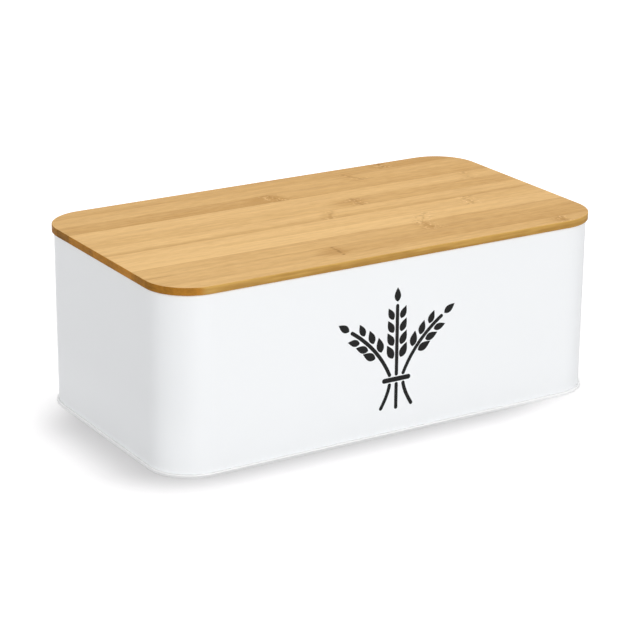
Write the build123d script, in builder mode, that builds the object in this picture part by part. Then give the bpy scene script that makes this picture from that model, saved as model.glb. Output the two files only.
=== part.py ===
"""Bread box: a seamed sheet-metal box under a lift-off lid glued up from bamboo strips.

Millimetres, +Z up. The origin is on the surface that the box stands on, below its centre.
X runs along the length, and the front faces -Y.
"""

import os

from build123d import *

os.makedirs("parts", exist_ok=True)

# Box: overall sizes
wall_length = 337.0         # over the outer faces of the wall
wall_width = 186.0
wall_corner_radius = 29.5   # outer face of the upright corners
box_height = 122.0          # floor to the top of the rolled rim

# Box: sheet metal
sheet = 0.4                 # coated steel sheet
seam_gap = 0.1              # film of sealing compound between the folded layers
seam_height = 2.4           # double seam that joins the wall to the base
seam_round = 0.5            # upper outer corner of the seam
seam_bevel = 0.5            # lower outer corner of the seam
rim_width = 3.0             # rolled rim, measured outside
rim_lip = 1.5               # straight end of the rolled rim, inside the box

# Box: base panel
panel_recess = 3.2          # underside of the panel's edge above the floor
step_inset = 8.0            # stiffening step, in from the wall
step_run = 1.6
step_rise = 1.0
step_land = 2.0             # flat ring between the step and the middle of the panel

# Box: welded lap at the middle of the back
lap_width = 8.0             # overlap of the two ends of the wall sheet
lap_joggle = 2.0            # where the inner end is set inwards by one sheet
lap_slit = 0.25             # open line beside the end of the outer sheet
lap_notch = 1.0             # the lap stops this far short of the base and the rim

# Lid: bamboo board
lid_overhang = 1.5          # past the wall, all round, about as far as the seam
board_thickness = 12.0
lid_edge = 5.2              # thickness left where the rim rests
top_bevel = 0.35            # along the upper edge
under_bevel = 0.35          # along the lower edge
seat_gap = 0.2              # between the rim and the board
plug_clearance = 1.2        # between the rim and the part of the lid that drops inside it
plug_lead = 1.0             # chamfer that guides the lid into the rim
first_strip = 14.0          # the strip at the back is ripped narrower than the others
strip_width = 18.0

# Lid: silicone ring
groove_height = 2.2
groove_depth = 1.6
seal_fit = 0.05             # between the ring and its groove
seal_clearance = 0.25       # between the ring and the rim
seal_bevel = 0.7            # upper and lower edge of the ring's nose

# Mid-sheet lines of the double seam, as distances outwards from the outer face of the wall
layer = sheet + seam_gap
wall_mid = -sheet / 2
chuck_mid = wall_mid - layer                      # upright edge of the base, inside the wall
cover_hook_mid = wall_mid + layer
body_hook_mid = cover_hook_mid + layer
seam_outer_mid = body_hook_mid + layer

# Mid-sheet heights of the folds in the double seam, and the free ends of the two hooks
base_fold_z = sheet / 2
wall_fold_z = base_fold_z + layer
seam_top_z = seam_height - sheet / 2
cover_hook_end_z = wall_fold_z + layer - sheet / 2
body_hook_end_z = seam_top_z - layer + sheet / 2

# Mid-sheet heights of the base panel
panel_edge_z = panel_recess + sheet / 2
panel_z = panel_edge_z + step_rise
panel_inset = step_inset + step_run + step_land

# Lid sizes that follow from the box
lid_length = wall_length + 2 * lid_overhang
lid_width = wall_width + 2 * lid_overhang
lid_corner_radius = wall_corner_radius + lid_overhang
plug_inset = lid_overhang + rim_width + plug_clearance
plug_depth = board_thickness - lid_edge
seat_z = box_height + seat_gap
groove_z = seat_z - plug_depth / 2 - groove_height / 2
strip_count = 1 + round((lid_width - first_strip) / strip_width)


def lid_outline(inset, mode=Mode.ADD):
    """The lid's rounded outline, drawn smaller by an inset all round."""
    RectangleRounded(
        lid_length - 2 * inset, lid_width - 2 * inset, lid_corner_radius - inset, mode=mode
    )


def section_plane(path):
    """Upright plane across the start of a path, with its X outwards and its Y up."""
    along = path % 0
    outwards = along.cross(Vector(0, 0, 1))
    return Plane(origin=path @ 0, x_dir=outwards, z_dir=-along)


# Path of the sheet-metal sections: the outer face of the wall at floor level
with BuildSketch() as wall_outline:
    RectangleRounded(wall_length, wall_width, wall_corner_radius)
wall_path = wall_outline.wire()
wall_section = section_plane(wall_path)

# Wall: one sheet bent round, hooked at the bottom and rolled inwards at the rim
with BuildPart() as wall_shell:
    rim_radius = rim_width / 2
    rim_z = box_height - rim_radius
    with BuildSketch(wall_section):
        with BuildLine():
            Polyline(
                (body_hook_mid, body_hook_end_z),
                (body_hook_mid, wall_fold_z),
                (wall_mid, wall_fold_z),
                (wall_mid, rim_z),
            )
            roll = CenterArc((-rim_radius, rim_z), rim_radius - sheet / 2, 0, 180)
            Line(roll @ 1, roll @ 1 - (0, rim_lip))
        trace(line_width=sheet)
    sweep(path=wall_path)
    # The inner end of the sheet, behind the outer one
    lap_bottom = panel_edge_z + sheet / 2 + lap_notch
    lap_top = rim_z - rim_lip - lap_notch
    with BuildSketch(Plane.XY.offset(lap_bottom)):
        with Locations((-lap_joggle / 2, wall_width / 2 - sheet)):
            Rectangle(lap_width + lap_joggle, sheet, align=(Align.CENTER, Align.MAX))
    extrude(amount=lap_top - lap_bottom)
    # The line where the outer end stops, closed off before the ends of the lap
    with BuildSketch(Plane.XY.offset(lap_bottom + lap_notch)):
        with Locations((-lap_width / 2, wall_width / 2)):
            Rectangle(lap_slit, sheet, align=(Align.CENTER, Align.MAX))
    extrude(amount=lap_top - lap_bottom - 2 * lap_notch, mode=Mode.SUBTRACT)
wall_shell.part.label = "wall_shell"
export_step(wall_shell.part, "parts/wall_shell.step")

# Base: a recessed panel whose edge is folded round the hook of the wall
with BuildPart() as base_pan:
    with BuildSketch(wall_section) as base_section:
        with BuildLine():
            Polyline(
                (cover_hook_mid, cover_hook_end_z),
                (cover_hook_mid, seam_top_z),
                (seam_outer_mid, seam_top_z),
                (seam_outer_mid, base_fold_z),
                (chuck_mid, base_fold_z),
                (chuck_mid, panel_edge_z),
                (-step_inset, panel_edge_z),
                (-step_inset - step_run, panel_z),
                (-panel_inset, panel_z),
            )
        trace(line_width=sheet)
        seam_corners = base_section.vertices().group_by(Axis.X)[-1].sort_by(Axis.Y)
        chamfer(seam_corners[0], seam_bevel)
        fillet(seam_corners[-1], seam_round)
    sweep(path=wall_path)
    with BuildSketch(Plane.XY.offset(panel_z - sheet / 2)):
        RectangleRounded(
            wall_length - 2 * panel_inset,
            wall_width - 2 * panel_inset,
            wall_corner_radius - panel_inset,
        )
    extrude(amount=sheet)
base_pan.part.label = "base_pan"
export_step(base_pan.part, "parts/base_pan.step")

# Lid board as it leaves the router, before it is told apart into its strips
with BuildPart() as lid_board:
    with BuildSketch(Plane.XY.offset(seat_z)):
        lid_outline(0)
    extrude(amount=lid_edge)
    chamfer(lid_board.edges().group_by(Axis.Z)[-1], top_bevel)
    chamfer(lid_board.edges().group_by(Axis.Z)[0], under_bevel)
    with BuildSketch(Plane.XY.offset(seat_z)):
        lid_outline(plug_inset)
    extrude(amount=-plug_depth)
    chamfer(lid_board.edges().group_by(Axis.Z)[0], plug_lead)
    with BuildSketch(Plane.XY.offset(groove_z)):
        lid_outline(plug_inset)
        lid_outline(plug_inset + groove_depth, mode=Mode.SUBTRACT)
    extrude(amount=groove_height, mode=Mode.SUBTRACT)

# Lid strips, numbered from the back to the front, glued along their long faces
glue_lines = [lid_width / 2 - first_strip - strip_width * i for i in range(strip_count - 1)]
for number in range(1, strip_count + 1):
    with BuildPart() as lid_strip:
        add(lid_board.part)
        if number > 1:
            split(bisect_by=Plane.ZX.offset(glue_lines[number - 2]), keep=Keep.BOTTOM)
        if number < strip_count:
            split(bisect_by=Plane.ZX.offset(glue_lines[number - 1]), keep=Keep.TOP)
    lid_strip.part.label = f"lid_strip_{number:02d}"
    export_step(lid_strip.part, f"parts/lid_strip_{number:02d}.step")

# Seal: a blunt-nosed silicone ring in the groove of the lid
with BuildPart() as lid_seal:
    seal_height = groove_height - 2 * seal_fit
    with BuildSketch(Plane.XY.offset(groove_z + seal_fit)):
        lid_outline(lid_overhang + rim_width + seal_clearance)
        lid_outline(plug_inset + groove_depth - seal_fit, mode=Mode.SUBTRACT)
    extrude(amount=seal_height)
    chamfer(lid_seal.faces().sort_by(Axis.Z)[-1].outer_wire().edges(), seal_bevel)
    chamfer(lid_seal.faces().sort_by(Axis.Z)[0].outer_wire().edges(), seal_bevel)
lid_seal.part.label = "lid_seal"
export_step(lid_seal.part, "parts/lid_seal.step")
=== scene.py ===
"""Looks of the bread box: coated steel, bamboo strips, a silicone ring and a printed wheat sheaf.

Metres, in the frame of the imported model: +Z up, the front faces -Y and the left end faces -X.
"""

import math
from typing import NamedTuple

import bmesh
import bpy
from mathutils import Matrix, Vector


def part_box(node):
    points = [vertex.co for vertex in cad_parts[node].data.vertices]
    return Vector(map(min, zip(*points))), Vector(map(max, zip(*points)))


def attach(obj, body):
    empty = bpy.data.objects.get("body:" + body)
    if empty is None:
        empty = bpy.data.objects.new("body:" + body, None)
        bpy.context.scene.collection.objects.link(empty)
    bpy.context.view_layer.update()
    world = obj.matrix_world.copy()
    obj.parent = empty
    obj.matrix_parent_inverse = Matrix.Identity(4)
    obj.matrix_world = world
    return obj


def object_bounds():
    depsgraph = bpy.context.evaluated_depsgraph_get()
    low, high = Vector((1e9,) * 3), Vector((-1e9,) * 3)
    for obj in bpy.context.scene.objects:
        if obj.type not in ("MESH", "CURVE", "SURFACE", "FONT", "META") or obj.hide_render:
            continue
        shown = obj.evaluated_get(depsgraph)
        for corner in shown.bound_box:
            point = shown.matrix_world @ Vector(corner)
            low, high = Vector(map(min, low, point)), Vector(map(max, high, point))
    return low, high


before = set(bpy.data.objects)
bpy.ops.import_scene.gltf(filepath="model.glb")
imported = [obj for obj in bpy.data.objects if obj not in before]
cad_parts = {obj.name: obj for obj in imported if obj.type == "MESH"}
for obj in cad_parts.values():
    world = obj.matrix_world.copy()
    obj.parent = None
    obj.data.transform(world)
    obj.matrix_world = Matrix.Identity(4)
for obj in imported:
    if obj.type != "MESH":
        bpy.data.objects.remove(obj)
cad_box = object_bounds()

WHITE = (1.0, 1.0, 1.0, 1.0)

# Camera of the photograph, about the point below the middle of the box
PICTURE_WIDTH = 640              # pixels
SENSOR_WIDTH = 36.0              # millimetres
FOCAL_LENGTH = 2288.9            # pixels
CAMERA_TURN = -31.926            # degrees about +Z, from looking along +Y
CAMERA_RISE = 19.219             # degrees above the floor
CAMERA_ROLL = 0.477              # degrees
CAMERA_DISTANCE = 1.6005
CAMERA_RIGHT = -0.0011           # sideways from the line to the point
CAMERA_UP = 0.0493               # upwards from that line

# Floor. It is grey, and a glow that lights nothing shows it white to the camera and in reflections.
# The glow grows with the distance from a rounded rectangle that shares the left side of the box. Being
# dimmer near the box, it paints part of the box's shadow, its depth and its fade.
FLOOR_SIZE = 12.0
FLOOR_COLOR = (0.458, 0.450, 0.456, 1.0)
GLOW_INSET_RIGHT = 0.055         # of the rectangle's right side from that of the box
GLOW_INSET_BACK = 0.042          # of the rectangle's back from that of the box
GLOW_INSET_FRONT = 0.005         # of the rectangle's front from that of the box
GLOW_ROUND = 0.05                # radius of the rectangle's corners
GLOW_SQUEEZE = 1.4               # factor by which distances to the front and the back count more
GLOW_AT_BOX = 0.30
GLOW_NEAR = 0.33                 # added over the first stretch, where the shadow fades out
GLOW_NEAR_STRETCH = (0.0, 0.05)  # distances from the rectangle
GLOW_FAR = 0.40                  # added over the second stretch, so that the far floor is white
GLOW_FAR_STRETCH = (0.20, 0.90)

# Lights
SKY_STRENGTH = 0.45              # as light
LAMP_AIM = (0.0, 0.0, 0.06)      # point that the lamps are turned to


class Lamp(NamedTuple):
    """A rectangular soft light."""
    name: str
    place: tuple
    width: float
    height: float
    power: float                 # watts


LAMPS = (
    Lamp("top_light", (0.057, 0.073, 1.6), 0.53, 0.53, 9.5),
    Lamp("back_light", (0.90, 0.50, 1.6), 1.0, 1.0, 6.3),
    Lamp("front_strip", (-0.2, -2.4, 0.30), 1.6, 0.5, 33.0),
    Lamp("side_strip", (-2.2, 0.9, 0.30), 1.6, 0.5, 14.4),
    Lamp("back_strip", (1.0, 1.8, 0.06), 1.6, 0.1, 8.4),
)


class Pattern(NamedTuple):
    """Noise from 0 to 1, about 0.5."""
    cycles: tuple                # a metre, along X, Y and Z
    shift: float = 0.0           # along all three, which keeps patterns apart
    detail: float = 2.0


NOISE_LIMITS = (0.2, 0.8)        # between which nearly all noise lies

# Coated steel, of the wall and of the base
WALL_PALE = (0.875, 0.893, 0.905, 1.0)
WALL_DEEP = (0.862, 0.880, 0.893, 1.0)
# Painted light, paler low on the left end, to lift the shade near the floor:
WALL_FOOT_PAINTED_LIGHT = (0.917, 0.936, 0.949, 1.0)       # low on the left end
WALL_PAINTED_LIGHT_FADE = (0.008, 0.055)  # heights between which this colour fades out
# The base's coat is paler than the wall's as a painted highlight, so that its seam shows a light line.
BASE_PALE = (0.965, 0.970, 0.970, 1.0)
BASE_DEEP = (0.950, 0.955, 0.955, 1.0)
# Painted shade, greyer low on the seam along the front:
SEAM_PAINTED_SHADE = (0.700, 0.705, 0.705, 1.0)       # low on the seam, along the front
SEAM_SHADE_HEIGHT = 0.0010        # of the middle of the grey band
SEAM_SHADE_FADE = (0.0003, 0.0010)            # distances from the middle between which it fades out
SEAM_SHADE_STRETCH = (0.02, 0.16)             # X between which it gets weaker to the right
SEAM_SHADE_LEAST = 0.2            # share of the grey that is left after that
COAT_DRIFT = Pattern((14, 14, 14))           # unevenness of tone
COAT_RIPPLE = Pattern((700, 700, 700), detail=1.0)     # of melted powder
COAT_ROUGHNESS = (0.42, 0.50)
COAT_SPECULAR = 0.4
COAT_BUMP = {"Distance": 0.00003, "Strength": 0.12}

# Silicone
SILICONE_PALE = (0.84, 0.84, 0.82, 1.0)
SILICONE_DEEP = (0.74, 0.74, 0.72, 1.0)
SILICONE_CLOUD = Pattern((60, 60, 60))
SILICONE_DUST = Pattern((1500, 1500, 1500))
SILICONE_ROUGHNESS = (0.45, 0.62)
SILICONE_BUMP = {"Distance": 0.00003, "Strength": 0.3}

# Bamboo, with fibres in four sizes
BAMBOO_DARK = (0.512, 0.287, 0.092, 1.0)
BAMBOO_LIGHT = (0.787, 0.511, 0.222, 1.0)
BAMBOO_ROUGHNESS = (0.44, 0.58)
BAMBOO_SPECULAR = 0.05
BAMBOO_BUMP = {"Distance": 0.00004, "Strength": 0.35}
NOISE_STEP = 7.3                 # between the noise of one strip and the next
BROAD_FIBRES = Pattern((5, 190, 190))
MIDDLE_FIBRES = Pattern((22, 420, 420))
FINE_FIBRES = Pattern((90, 1200, 1200))
DASHES = Pattern((130, 500, 500), shift=6.0)
FIBRE_TONE = 0.60                # change of tone over the noise of the fibres
DASH_TONE = 0.50
# Painted shade, the top darker towards the right:
RIGHTWARD_PAINTED_SHADE = -0.6                # change of tone per metre to the right
FRONT_FADE = (0.15, 0.40)        # shares of a strip's width over which its front's tone fades out
MIDDLE_BUMP = 0.6                # height of the middle fibres, where that of the fine ones is 1

# Glue line along a strip's front
GLUE_FADE = (0.0003, 0.0015)     # distances from the front between which it fades out
GLUE_STRETCHES = Pattern((9, 30, 9), shift=2.0)
GLUE_LIMITS = (0.42, 0.56)       # noise between which a stretch of glue begins to show
GLUE_TONE = -0.80                # change of tone where a strong line shows

# Knuckle: a patch, a line across the strip, and pits and flecks beside it
KNUCKLE_STRETCH = (-0.012, 0.012)            # where the left tone goes over into the right one
KNUCKLE_WAVER = Pattern((40, 160, 40), shift=1.0)
WAVER_LENGTH = 0.006             # of the line, to the left and the right together
PATCH_TONE = -0.50               # change of tone where a strong patch is full
PATCH_CORE = 0.001               # distance left of the line from which the patch is full
PATCH_RIGHT = 0.4                # length right of the line, as a share of that left of it
PATCH_FADE = (0.2, 0.55)         # shares of the strip's width, from its middle, where it gets weaker
PATCH_LEAST = 0.25               # share of the patch that is left after that
MARK_COLOR = (0.300, 0.150, 0.035, 1.0)      # lines and pits
LINE_FADE = (0.0001, 0.0020)     # distances from the line between which it fades out
LINE_BREAKS = Pattern((30, 250, 30), shift=3.0)
BREAK_LIMITS = (0.34, 0.50)      # noise between which the line begins to show
LINE_STRENGTH = 0.80             # share of the marks' colour in a strong line
SPOT_FADE = (0.003, 0.012)       # distances from the line between which pits and flecks fade out
SPOTS = Pattern((420, 330, 420), shift=5.0)
PIT_LIMITS = (0.34, 0.44)        # noise between which a pit fades out
PIT_STRENGTH = 0.30
FLECK_COLOR = (0.850, 0.570, 0.280, 1.0)
FLECK_LIMITS = (0.56, 0.66)      # noise between which a fleck begins to show
FLECK_STRENGTH = 0.80

# Sawn sides of the strips: the edges along the fibres, and the ends across the fibres
SIDE_LIMITS = (0.75, 0.90)       # up or down part of the normal between which a side becomes a face
LAYERS = Pattern((30, 30, 600))
CLOUDS = Pattern((70, 70, 150), shift=4.0)
PORES = Pattern((900, 260, 900))
EDGE_DARK = (0.405, 0.219, 0.054, 1.0)
EDGE_LIGHT = (0.595, 0.357, 0.099, 1.0)
EDGE_TONE = 1.0
# Painted shade, the edges darker towards their bottom:
EDGE_PAINTED_SHADE = -200.0               # change of tone per metre below the top
EDGE_LAYER_TONE = 2.0
EDGE_CLOUD_TONE = 1.0
END_DARK = (0.168, 0.076, 0.009, 1.0)
END_LIGHT = (0.507, 0.219, 0.030, 1.0)
END_FRONT = 0.3                  # change of tone where an end turns to the front or the back
END_PORE_TONE = 0.6
END_CLOUD_TONE = 0.9
LEFT_END_LIMITS = (0.10, 0.30)   # left part of the normal between which an edge becomes an end
RIGHT_END_LIMITS = (0.60, 0.95)  # right part of the normal between which it does so


class Strip(NamedTuple):
    """Looks of one bamboo strip. A tone goes from 0, dark, to 1, light."""
    left: float                  # tone left of the knuckle
    right: float                 # tone right of the knuckle
    front: float                 # change of tone along the front quarter of the strip
    knuckle: float               # distance of the knuckle from the left end of the lid
    slant: float                 # how far the knuckle's front lies to the right of its back
    line: float                  # strength of the line across the strip
    patch: float                 # strength of the dark patch, most of it left of the line
    reach: float                 # length of the patch left of the line
    flecks: float                # strength of the flecks and pits round the line
    glue: float                  # strength of the line along the strip's front


# The strips from the back to the front
STRIPS = (
    Strip(0.27, 0.15, 0.00, 0.275, 0.000, 0.7, 1.0, 0.014, 0.7, 0.2),
    Strip(0.44, 0.42, 0.00, 0.240, 0.008, 0.4, 0.4, 0.020, 0.4, 0.2),
    Strip(0.20, 0.38, -0.10, 0.163, 0.002, 0.3, 0.8, 0.025, 0.8, 0.8),
    Strip(0.67, 0.58, 0.00, 0.315, -0.004, 0.3, 0.3, 0.012, 0.3, 0.2),
    Strip(0.53, 0.38, 0.00, 0.208, 0.000, 0.6, 0.8, 0.030, 0.6, 0.2),
    Strip(0.70, 0.66, -0.35, 0.176, -0.012, 0.3, 0.6, 0.012, 0.4, 0.1),
    Strip(0.70, 0.62, 0.00, 0.278, -0.004, 0.3, 0.4, 0.010, 1.0, 0.2),
    Strip(0.90, 0.78, 0.00, 0.227, -0.013, 0.2, 0.2, 0.010, 1.0, 0.9),
    Strip(0.50, 0.38, 0.00, 0.220, 0.000, 0.3, 0.5, 0.018, 0.8, 0.9),
    Strip(0.46, 0.30, 0.00, 0.136, -0.001, 1.0, 0.8, 0.025, 0.1, 0.6),
    Strip(0.56, 0.58, 0.00, 0.308, 0.000, 0.5, 0.9, 0.015, 0.7, 0.0),
)

# Printed sheaf, on the middle of the front wall
PRINT_HEIGHT = 0.058             # of its middle above the floor
PRINT_SINK = 0.00002             # into the wall
PRINT_THICKNESS = 0.00008
INK_DARK = (0.009, 0.009, 0.009, 1.0)
INK_PALE = (0.015, 0.015, 0.015, 1.0)
INK_DENSITY = Pattern((260, 260, 260), detail=3.0)
INK_ROUGHNESS = (0.50, 0.65)
INK_SPECULAR = 0.1
STEM_WIDTH = 0.0026
GRAIN_LENGTH = 0.0110
GRAIN_WIDTH = 0.0056
GRAIN_FORM = 0.75                # below 1, the widest place lies nearer the base than the tip
GRAIN_GAP = 0.0029               # from the middle of the stem to the foot of a grain
GRAIN_LEAN = 26                  # degrees from the stem
GRAIN_TAPER = 0.2                # share by which the grains get smaller up an ear
TIE_LEVEL = -0.019               # from the middle of the print
TIE_HALF = 0.0095                # half of its length
TIE_WIDTH = 0.0034
TIE_GAP = 0.0035                 # from the middle of the tie to the ends of the stems
STEM_PITCH = 0.0054              # between the stems at the tie


class Stalk(NamedTuple):
    """One stalk of the sheaf. Points are to the right and upwards from the middle of the print."""
    bend: tuple                  # of the stem above the tie
    tip: tuple                   # of that stem
    first: float                 # share of that stem at which the grains begin
    pairs: int                   # of grains
    foot_bend: tuple             # of the stem below the tie
    foot: tuple                  # its lower end


MIDDLE_STALK = Stalk((0.0, 0.008), (0.0, 0.032), 0.24, 4, (0.0, -0.030), (0.0, -0.039))
SIDE_STALK = Stalk((0.0145, 0.005), (0.035, 0.019), 0.40, 3, (0.0065, -0.029), (0.012, -0.038))


# Node shorthand

def new_material(name):
    """A node material, with its node tree and its surface shader."""
    material = bpy.data.materials.new(name)
    material.use_nodes = True
    tree = material.node_tree
    return material, tree, tree.nodes["Principled BSDF"]


def feed(tree, socket, value):
    """Link a socket to another one, or set its value."""
    if isinstance(value, bpy.types.NodeSocket):
        tree.links.new(value, socket)
    else:
        socket.default_value = value


def node(tree, kind, inputs=(), **settings):
    """A new node with its settings and inputs."""
    made = tree.nodes.new("ShaderNode" + kind)
    for name, value in settings.items():
        setattr(made, name, value)
    for name, value in dict(inputs).items():
        feed(tree, made.inputs[name], value)
    return made


def calc(tree, operation, *values):
    """The result of a Math node."""
    return node(tree, "Math", enumerate(values), operation=operation).outputs["Value"]


def vector_calc(tree, operation, *values):
    """The result of a Vector Math node."""
    return node(tree, "VectorMath", enumerate(values), operation=operation).outputs["Vector"]


def minus(tree, value):
    """A value with its sign changed."""
    return calc(tree, "MULTIPLY", value, -1.0)


def distance(tree, value, middle):
    """How far a value lies from a middle, on either side."""
    return calc(tree, "ABSOLUTE", calc(tree, "SUBTRACT", value, middle))


def eased(tree, value, limits, ends=(0.0, 1.0)):
    """A smooth change from one end to the other while a value goes from limit to limit."""
    inputs = {
        "Value": value,
        "From Min": limits[0],
        "From Max": limits[1],
        "To Min": ends[0],
        "To Max": ends[1],
    }
    return node(tree, "MapRange", inputs, interpolation_type="SMOOTHSTEP").outputs["Result"]


def faded(tree, value, limits, least=0.0):
    """A smooth fall from 1 to a least share while a value goes from limit to limit."""
    return eased(tree, value, limits, (1.0, least))


def shares(limits, whole):
    """Limits that are given as shares of a whole."""
    return [limit * whole for limit in limits]


def both(tree, first, second):
    """The product of two masks."""
    return calc(tree, "MULTIPLY", first, second)


def total(tree, first, *terms):
    """A value plus a number of (factor, value) terms."""
    for factor, value in terms:
        first = calc(tree, "MULTIPLY_ADD", value, factor, first)
    return first


def mixed(tree, factor, first, second):
    """A colour between two colours."""
    made = node(tree, "Mix", data_type="RGBA")
    for name, value in {"Factor_Float": factor, "A_Color": first, "B_Color": second}.items():
        socket = next(s for s in made.inputs if s.identifier == name)
        feed(tree, socket, value)
    return next(s for s in made.outputs if s.identifier == "Result_Color")


def noise(tree, where, pattern, shift=0.0):
    """The noise of a pattern, shifted further where a piece has a shift of its own."""
    moved = shift + pattern.shift
    inputs = {"Vector": where, "Scale": pattern.cycles, "Location": (moved, moved, moved)}
    placed = node(tree, "Mapping", inputs).outputs["Vector"]
    inputs = {"Vector": placed, "Scale": 1.0, "Detail": pattern.detail}
    return node(tree, "TexNoise", inputs).outputs["Fac"]


def centred(tree, value):
    """Noise from -0.5 to 0.5."""
    return calc(tree, "SUBTRACT", value, 0.5)


def parts_of(tree, vector):
    """The X, Y and Z sockets of a vector."""
    return node(tree, "SeparateXYZ", {"Vector": vector}).outputs


def set_roughness(tree, shader, value, ends):
    """Feed a shader a roughness that follows noise."""
    feed(tree, shader.inputs["Roughness"], eased(tree, value, NOISE_LIMITS, ends))


def set_bump(tree, shader, height, bump):
    """Feed a shader a bump."""
    inputs = {"Height": height, **bump}
    feed(tree, shader.inputs["Normal"], node(tree, "Bump", inputs).outputs["Normal"])


def tint(material, share, color):
    """Mix a colour into the colour that nodes give a material."""
    tree = material.node_tree
    socket = tree.nodes["Principled BSDF"].inputs["Base Color"]
    feed(tree, socket, mixed(tree, share, socket.links[0].from_socket, color))


def seen_rays(tree):
    """1 for what the camera sees, straight or in a reflection or through glass, and 0 for light."""
    path = node(tree, "LightPath").outputs
    seen = calc(tree, "MAXIMUM", path["Is Camera Ray"], path["Is Glossy Ray"])
    return calc(tree, "MAXIMUM", seen, path["Is Transmission Ray"])


# Materials of the steel, the silicone and the print

def white_coat(name, pale, deep):
    """Satin powder coat on steel: a faint unevenness of tone, and the fine ripple of melted powder."""
    material, tree, shader = new_material(name)
    where = node(tree, "TexCoord").outputs["Object"]
    ripple = noise(tree, where, COAT_RIPPLE)
    color = mixed(tree, noise(tree, where, COAT_DRIFT), deep, pale)
    feed(tree, shader.inputs["Base Color"], color)
    set_roughness(tree, shader, ripple, COAT_ROUGHNESS)
    shader.inputs["Specular IOR Level"].default_value = COAT_SPECULAR
    set_bump(tree, shader, ripple, COAT_BUMP)
    return material


def wall_coat():
    """The coat of the wall, with painted light that makes it paler low down where it faces left."""
    material = white_coat("wall_coat", WALL_PALE, WALL_DEEP)
    tree = material.node_tree
    coordinates = node(tree, "TexCoord").outputs
    low = faded(tree, parts_of(tree, coordinates["Object"])["Z"], WALL_PAINTED_LIGHT_FADE)
    facing_left = minus(tree, parts_of(tree, coordinates["Normal"])["X"])
    # painted light: paler low on the left end, lifting the shade near the floor
    tint(material, both(tree, low, facing_left), WALL_FOOT_PAINTED_LIGHT)
    return material


def base_coat():
    """The coat of the base: paler than the wall's coat as a painted highlight on the seam, and greyer
    low on the front of the seam as painted shade.
    """
    material = white_coat("base_coat", BASE_PALE, BASE_DEEP)
    tree = material.node_tree
    coordinates = node(tree, "TexCoord").outputs
    place = parts_of(tree, coordinates["Object"])
    band = faded(tree, distance(tree, place["Z"], SEAM_SHADE_HEIGHT), SEAM_SHADE_FADE)
    along = faded(tree, place["X"], SEAM_SHADE_STRETCH, SEAM_SHADE_LEAST)
    facing_front = minus(tree, parts_of(tree, coordinates["Normal"])["Y"])
    # painted shade low on the front of the seam
    tint(material, both(tree, both(tree, band, along), facing_front), SEAM_PAINTED_SHADE)
    return material


def silicone():
    """Matt, milky silicone with a little dust in its skin."""
    material, tree, shader = new_material("silicone")
    where = node(tree, "TexCoord").outputs["Object"]
    dust = noise(tree, where, SILICONE_DUST)
    color = mixed(tree, noise(tree, where, SILICONE_CLOUD), SILICONE_DEEP, SILICONE_PALE)
    feed(tree, shader.inputs["Base Color"], color)
    set_roughness(tree, shader, dust, SILICONE_ROUGHNESS)
    set_bump(tree, shader, dust, SILICONE_BUMP)
    return material


def ink():
    """Screen-printed charcoal ink, slightly uneven in density."""
    material, tree, shader = new_material("print_ink")
    where = node(tree, "TexCoord").outputs["Object"]
    density = noise(tree, where, INK_DENSITY)
    feed(tree, shader.inputs["Base Color"], mixed(tree, density, INK_DARK, INK_PALE))
    set_roughness(tree, shader, density, INK_ROUGHNESS)
    shader.inputs["Specular IOR Level"].default_value = INK_SPECULAR
    return material


# Material of the bamboo

class Ground(NamedTuple):
    """What the colours of one strip are worked out from: sockets of its node tree, and two sizes."""
    tree: bpy.types.NodeTree
    where: bpy.types.NodeSocket              # the place
    rightwards: bpy.types.NodeSocket         # X of the place
    from_front: bpy.types.NodeSocket         # distance of the place from the strip's front
    below_top: bpy.types.NodeSocket          # distance of the place below the strip's top
    normal: bpy.types.NodeOutputs            # X, Y and Z of the surface's normal
    width: float                 # of the strip
    shift: float                 # of the strip's noise


def strip_ground(tree, number):
    """The ground of a strip's colours."""
    low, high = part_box(f"lid_strip_{number:02d}")
    coordinates = node(tree, "TexCoord").outputs
    place = parts_of(tree, coordinates["Object"])
    return Ground(
        tree=tree,
        where=coordinates["Object"],
        rightwards=place["X"],
        from_front=calc(tree, "SUBTRACT", place["Y"], low.y),
        below_top=calc(tree, "SUBTRACT", high.z, place["Z"]),
        normal=parts_of(tree, coordinates["Normal"]),
        width=high.y - low.y,
        shift=NOISE_STEP * number,
    )


def strip_noise(ground, pattern):
    """The noise of a pattern on a strip."""
    return noise(ground.tree, ground.where, pattern, ground.shift)


def past_knuckle(ground, strip):
    """Distance to the right of the knuckle, which leans and wavers across the strip."""
    tree = ground.tree
    front_x = cad_box[0].x + strip.knuckle + strip.slant / 2
    return total(
        tree,
        calc(tree, "SUBTRACT", ground.rightwards, front_x),
        (strip.slant / ground.width, ground.from_front),
        (WAVER_LENGTH, centred(tree, strip_noise(ground, KNUCKLE_WAVER))),
    )


def knuckle_patch(ground, strip, past):
    """Mask of the soft patch round a knuckle, which is weaker towards the edges of the strip."""
    tree = ground.tree
    along = both(
        tree,
        eased(tree, past, (-strip.reach, -PATCH_CORE)),
        faded(tree, past, (0.0, PATCH_RIGHT * strip.reach)),
    )
    off_middle = distance(tree, ground.from_front, ground.width / 2)
    across = faded(tree, off_middle, shares(PATCH_FADE, ground.width), PATCH_LEAST)
    return both(tree, along, across)


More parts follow.
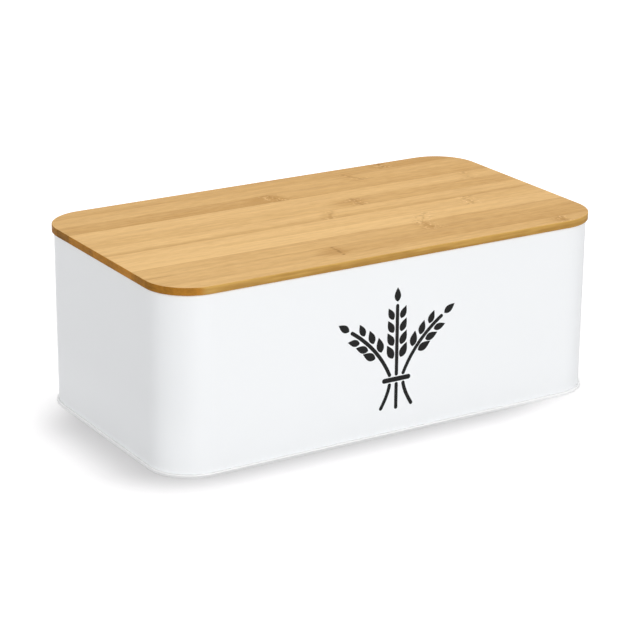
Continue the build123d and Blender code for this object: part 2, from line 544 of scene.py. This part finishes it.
def knuckle_marks(ground, strip, past):
    """Masks of a knuckle's marks, which are a broken line with pits beside it, and of its flecks."""
    tree = ground.tree
    away = calc(tree, "ABSOLUTE", past)
    breaks = eased(tree, strip_noise(ground, LINE_BREAKS), BREAK_LIMITS)
    line = both(tree, faded(tree, away, LINE_FADE), breaks)
    near = faded(tree, away, SPOT_FADE)
    spots = strip_noise(ground, SPOTS)
    pits = both(tree, near, faded(tree, spots, PIT_LIMITS))
    flecks = both(tree, near, eased(tree, spots, FLECK_LIMITS))
    marks = total(
        tree,
        0.0,
        (LINE_STRENGTH * strip.line, line),
        (PIT_STRENGTH * strip.flecks, pits),
    )
    return marks, both(tree, flecks, FLECK_STRENGTH * strip.flecks)


def glue_line(ground):
    """Mask of the glue along a strip's front, which shows here and there."""
    tree = ground.tree
    return both(
        tree,
        faded(tree, ground.from_front, GLUE_FADE),
        eased(tree, strip_noise(ground, GLUE_STRETCHES), GLUE_LIMITS),
    )


def face_color(ground, strip, middle, fine):
    """Colour of the top: fibres, a knuckle between two tones, and a glue line."""
    tree = ground.tree
    past = past_knuckle(ground, strip)
    tone = total(
        tree,
        eased(tree, past, KNUCKLE_STRETCH, (strip.left, strip.right)),
        # painted shade, darker towards the right
        (RIGHTWARD_PAINTED_SHADE, ground.rightwards),
        (strip.front, faded(tree, ground.from_front, shares(FRONT_FADE, ground.width))),
        (FIBRE_TONE, centred(tree, strip_noise(ground, BROAD_FIBRES))),
        (FIBRE_TONE, centred(tree, middle)),
        (FIBRE_TONE, centred(tree, fine)),
        (DASH_TONE, centred(tree, strip_noise(ground, DASHES))),
        (GLUE_TONE * strip.glue, glue_line(ground)),
        (PATCH_TONE * strip.patch, knuckle_patch(ground, strip, past)),
    )
    marks, flecks = knuckle_marks(ground, strip, past)
    color = mixed(tree, tone, BAMBOO_DARK, BAMBOO_LIGHT)
    color = mixed(tree, marks, color, MARK_COLOR)
    return mixed(tree, flecks, color, FLECK_COLOR)


def side_color(ground, strip):
    """Colour of the sides: golden and streaked along the fibres, brown across their ends."""
    tree = ground.tree
    normal = ground.normal
    layers, clouds, pores = (
        centred(tree, strip_noise(ground, pattern)) for pattern in (LAYERS, CLOUDS, PORES)
    )
    edge_tone = total(
        tree,
        EDGE_TONE,
        (EDGE_LAYER_TONE, layers),
        (EDGE_CLOUD_TONE, clouds),
        # painted shade, darker towards the bottom of the edge
        (EDGE_PAINTED_SHADE, ground.below_top),
    )
    end_tone = total(
        tree,
        strip.left,
        (END_PORE_TONE, pores),
        (END_CLOUD_TONE, clouds),
        (END_FRONT, both(tree, normal["Y"], normal["Y"])),
    )
    edge = mixed(tree, edge_tone, EDGE_DARK, EDGE_LIGHT)
    end = mixed(tree, end_tone, END_DARK, END_LIGHT)
    left_end = eased(tree, minus(tree, normal["X"]), LEFT_END_LIMITS)
    right_end = eased(tree, normal["X"], RIGHT_END_LIMITS)
    return mixed(tree, calc(tree, "MAXIMUM", left_end, right_end), edge, end)


def bamboo(number, strip):
    """One strip: fibres along it, a knuckle and a glue line on it, and its sawn edges and ends."""
    material, tree, shader = new_material(f"bamboo_{number:02d}")
    ground = strip_ground(tree, number)
    middle = strip_noise(ground, MIDDLE_FIBRES)
    fine = strip_noise(ground, FINE_FIBRES)
    face = face_color(ground, strip, middle, fine)
    side = side_color(ground, strip)
    upright = faded(tree, calc(tree, "ABSOLUTE", ground.normal["Z"]), SIDE_LIMITS)
    feed(tree, shader.inputs["Base Color"], mixed(tree, upright, face, side))
    set_roughness(tree, shader, middle, BAMBOO_ROUGHNESS)
    shader.inputs["Specular IOR Level"].default_value = BAMBOO_SPECULAR
    set_bump(tree, shader, total(tree, fine, (MIDDLE_BUMP, middle)), BAMBOO_BUMP)
    return material


# Printed sheaf

def turned(arm, degrees):
    """A 2-D vector turned to the left."""
    return Matrix.Rotation(math.radians(degrees), 2) @ arm


def on_curve(curve, along):
    """The point and the direction at a share of a quadratic curve."""
    foot, bend, top = (Vector(point) for point in curve)
    point = foot * (1 - along) ** 2 + bend * 2 * along * (1 - along) + top * along ** 2
    direction = (bend - foot) * (1 - along) + (top - bend) * along
    return point, direction.normalized()


def stroke(curve, width, steps=16, cap_steps=8):
    """Outline of a line of even width with round ends along a quadratic curve."""
    left, right = [], []
    for step in range(steps + 1):
        point, direction = on_curve(curve, step / steps)
        side = turned(direction, 90) * width / 2
        left.append(point + side)
        right.append(point - side)
    foot, top = Vector(curve[0]), Vector(curve[-1])
    turns = [-180 * step / cap_steps for step in range(1, cap_steps)]
    over = [top + turned(left[-1] - top, turn) for turn in turns]
    under = [foot + turned(right[0] - foot, turn) for turn in turns]
    return left + over + right[::-1] + under


def grain(base, direction, size, steps=14):
    """Outline of a grain: blunt at its base and pointed at its tip."""
    side = turned(direction, 90)
    left, right = [], []
    for step in range(1, steps):
        along = step / steps
        spine = base + direction * size * GRAIN_LENGTH * along
        half = side * size * GRAIN_WIDTH / 2 * math.sin(math.pi * along ** GRAIN_FORM)
        left.append(spine + half)
        right.append(spine - half)
    return [base] + left + [base + direction * size * GRAIN_LENGTH] + right[::-1]


def ear(curve, first, pairs):
    """Stem and grains of one ear: pairs of grains from a share of the stem upwards, one at the tip."""
    outlines = [stroke(curve, STEM_WIDTH)]
    for pair in range(pairs):
        size = 1 - GRAIN_TAPER * pair / pairs
        point, direction = on_curve(curve, first + (1 - first) * pair / pairs)
        for sign in (1, -1):
            base = point + turned(direction, 90 * sign) * GRAIN_GAP
            outlines.append(grain(base, turned(direction, sign * GRAIN_LEAN), size))
    point, direction = on_curve(curve, 1)
    outlines.append(grain(point + direction * GRAIN_GAP, direction, 1 - GRAIN_TAPER / 2))
    return outlines


def sheaf_outlines():
    """Three stalks that are tied together above their feet, about the print's middle."""
    above = TIE_LEVEL + TIE_GAP
    below = TIE_LEVEL - TIE_GAP
    outlines = []
    for stalk, side in ((MIDDLE_STALK, 0), (SIDE_STALK, 1), (SIDE_STALK, -1)):
        upper = ((STEM_PITCH, above), stalk.bend, stalk.tip)
        lower = ((STEM_PITCH, below), stalk.foot_bend, stalk.foot)
        outlines += ear([(side * x, y) for x, y in upper], stalk.first, stalk.pairs)
        outlines.append(stroke([(side * x, y) for x, y in lower], STEM_WIDTH))
    tie = [(x, TIE_LEVEL) for x in (-TIE_HALF, 0, TIE_HALF)]
    outlines.append(stroke(tie, TIE_WIDTH))
    return outlines


def printed_sheaf(wall_y):
    """The sheaf as thin closed plates on the front wall."""
    mesh = bmesh.new()
    for outline in sheaf_outlines():
        back, front = (
            [mesh.verts.new((point.x, y, PRINT_HEIGHT + point.y)) for point in outline]
            for y in (wall_y + PRINT_SINK, wall_y - PRINT_THICKNESS)
        )
        mesh.faces.new(back)
        mesh.faces.new(front[::-1])
        for i in range(len(outline)):
            mesh.faces.new((back[i], back[i - 1], front[i - 1], front[i]))
    bmesh.ops.recalc_face_normals(mesh, faces=mesh.faces)
    data = bpy.data.meshes.new("printed_sheaf")
    mesh.to_mesh(data)
    mesh.free()
    data.materials.append(ink())
    piece = bpy.data.objects.new("printed_sheaf", data)
    bpy.context.scene.collection.objects.link(piece)
    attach(piece, "box")


# Finishes

def dress(name, material):
    """Give a CAD node its material."""
    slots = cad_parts[name].data.materials
    slots.clear()
    slots.append(material)


def front_of_wall():
    """Y of the front wall's outer face: that of the wall's most forward point above half height."""
    half_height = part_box("wall_shell")[1].z / 2
    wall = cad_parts["wall_shell"].data
    return min(vertex.co.y for vertex in wall.vertices if vertex.co.z > half_height)


dress("wall_shell", wall_coat())
dress("base_pan", base_coat())
dress("lid_seal", silicone())
for number, strip in enumerate(STRIPS, start=1):
    dress(f"lid_strip_{number:02d}", bamboo(number, strip))
printed_sheaf(front_of_wall())


# Stage

def past_rectangle(tree):
    """Distance of a place on the floor from the rounded rectangle of the glow."""
    where = node(tree, "TexCoord").outputs["Object"]
    low = cad_box[0] + Vector((0.0, GLOW_INSET_FRONT, 0.0))
    high = cad_box[1] - Vector((GLOW_INSET_RIGHT, GLOW_INSET_BACK, 0.0))
    half = (high - low) / 2
    squeeze = Vector((1.0, GLOW_SQUEEZE, 0.0))
    rounding = Vector((GLOW_ROUND, GLOW_ROUND, 0.0))
    outside = vector_calc(tree, "ABSOLUTE", vector_calc(tree, "SUBTRACT", where, low + half))
    outside = vector_calc(tree, "MULTIPLY", outside, squeeze)
    outside = vector_calc(tree, "SUBTRACT", outside, half * squeeze - rounding)
    outside = vector_calc(tree, "MAXIMUM", outside, (0.0, 0.0, 0.0))
    length = node(tree, "VectorMath", {0: outside}, operation="LENGTH").outputs["Value"]
    return calc(tree, "SUBTRACT", length, GLOW_ROUND)


def floor_material():
    """Matt grey that takes the shadow of the box, with a glow that shows the rest white and paints
    part of the shadow.
    """
    material, tree, shader = new_material("floor")
    away = past_rectangle(tree)
    glow = total(
        tree,
        GLOW_AT_BOX,
        (GLOW_NEAR, eased(tree, away, GLOW_NEAR_STRETCH)),
        (GLOW_FAR, eased(tree, away, GLOW_FAR_STRETCH)),
    )
    shader.inputs["Base Color"].default_value = FLOOR_COLOR
    shader.inputs["Roughness"].default_value = 1.0
    shader.inputs["Specular IOR Level"].default_value = 0.0
    shader.inputs["Emission Color"].default_value = WHITE
    feed(tree, shader.inputs["Emission Strength"], both(tree, seen_rays(tree), glow))
    return material


def add_floor():
    """A wide floor under the box."""
    half = FLOOR_SIZE / 2
    corners = [(-half, -half, 0), (half, -half, 0), (half, half, 0), (-half, half, 0)]
    data = bpy.data.meshes.new("floor")
    data.from_pydata(corners, [], [(0, 1, 2, 3)])
    data.materials.append(floor_material())
    floor = bpy.data.objects.new("floor", data)
    bpy.context.scene.collection.objects.link(floor)


def add_sky():
    """Even light from all round, white to the camera and in reflections."""
    world = bpy.data.worlds.new("studio")
    bpy.context.scene.world = world
    world.use_nodes = True
    tree = world.node_tree
    background = tree.nodes["Background"]
    background.inputs["Color"].default_value = WHITE
    strength = total(tree, SKY_STRENGTH, (1.0 - SKY_STRENGTH, seen_rays(tree)))
    feed(tree, background.inputs["Strength"], strength)


def add_lamp(lamp):
    """A soft light at its place, turned to the box."""
    light = bpy.data.lights.new(lamp.name, "AREA")
    light.shape = "RECTANGLE"
    light.size = lamp.width
    light.size_y = lamp.height
    light.energy = lamp.power
    made = bpy.data.objects.new(lamp.name, light)
    made.location = lamp.place
    beam = Vector(LAMP_AIM) - Vector(lamp.place)
    made.rotation_euler = beam.to_track_quat("-Z", "Y").to_euler()
    bpy.context.scene.collection.objects.link(made)


def add_camera():
    """The camera of the photograph."""
    turn, rise, roll = (math.radians(a) for a in (CAMERA_TURN, CAMERA_RISE, CAMERA_ROLL))
    back = Vector((
        math.sin(turn) * math.cos(rise),
        -math.cos(turn) * math.cos(rise),
        math.sin(rise),
    ))
    level = Vector((math.cos(turn), math.sin(turn), 0.0))
    raised = back.cross(level)
    right = level * math.cos(roll) + raised * math.sin(roll)
    up = raised * math.cos(roll) - level * math.sin(roll)
    eye = back * CAMERA_DISTANCE + right * CAMERA_RIGHT + up * CAMERA_UP
    facing = Matrix((right, up, back)).transposed().to_4x4()
    data = bpy.data.cameras.new("camera")
    data.sensor_width = SENSOR_WIDTH
    data.lens = FOCAL_LENGTH * SENSOR_WIDTH / PICTURE_WIDTH
    camera = bpy.data.objects.new("camera", data)
    camera.matrix_world = Matrix.Translation(eye) @ facing
    bpy.context.scene.collection.objects.link(camera)
    bpy.context.scene.camera = camera


add_floor()
add_sky()
for lamp in LAMPS:
    add_lamp(lamp)
add_camera()
bpy.context.scene.view_settings.view_transform = "Standard"
